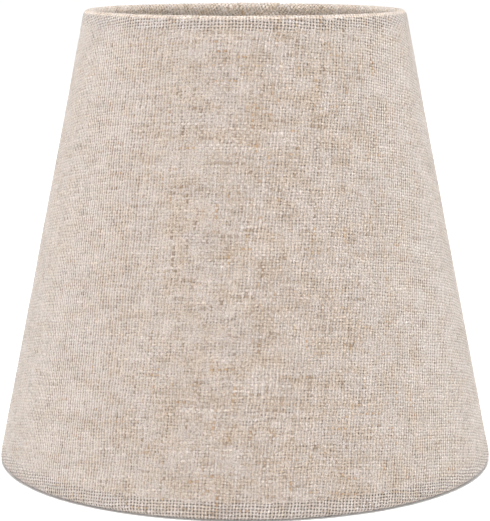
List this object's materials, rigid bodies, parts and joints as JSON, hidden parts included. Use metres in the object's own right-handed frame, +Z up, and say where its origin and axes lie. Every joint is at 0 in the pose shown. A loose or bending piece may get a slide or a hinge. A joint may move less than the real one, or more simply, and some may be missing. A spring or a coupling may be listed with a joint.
{
  "type": "lamp shade",
  "caption": "Small tapered linen lamp shade, stiffened by film and two wire rings, on a tilting fitter with a lift-out reducer.",
  "frame": {"origin": "centre of the bottom rim, on the surface that the shade stands on", "axes": "+Z up along the shade's axis towards the small rim; X along the fitter's tilt axis; the cloth's seam is at the back, near +Y"},
  "size_m": [0.14, 0.14, 0.127],
  "materials": {
    "linen": "natural unbleached plain weave with slubs",
    "film": "satin off-white film",
    "film_strip": "satin off-white film",
    "ring_steel": "zinc-plated wire",
    "arm_steel": "zinc-plated wire",
    "rivet_steel": "bright zinc",
    "washer_steel": "plain spring steel",
    "pressed_steel": "zinc-plated pressing",
    "reducer_plastic": "moulded, half gloss"
  },
  "bodies": {
    "shade": {"linen_cover": "linen", "backing_panel": "film", "seam_strip": "film_strip", "top_ring": "ring_steel", "bottom_ring": "ring_steel", "left_arm": "arm_steel", "right_arm": "arm_steel", "left_rivet": "rivet_steel", "right_rivet": "rivet_steel", "left_washer": "washer_steel", "right_washer": "washer_steel"},
    "fitter": {"tilt_ring": "pressed_steel"},
    "reducer": {"reducer_ring": "reducer_plastic"}
  },
  "joints": [
    {"name": "ring_tilt", "type": "hinge", "parent": "shade", "child": "fitter", "pos_m": [0, 0, 0.097], "axis": [1, 0, 0], "range_deg": [-30, 30]},
    {"name": "reducer_lift", "type": "slide", "parent": "fitter", "child": "reducer", "axis": [0, 0, 1], "range_m": [0, 0.03]}
  ]
}
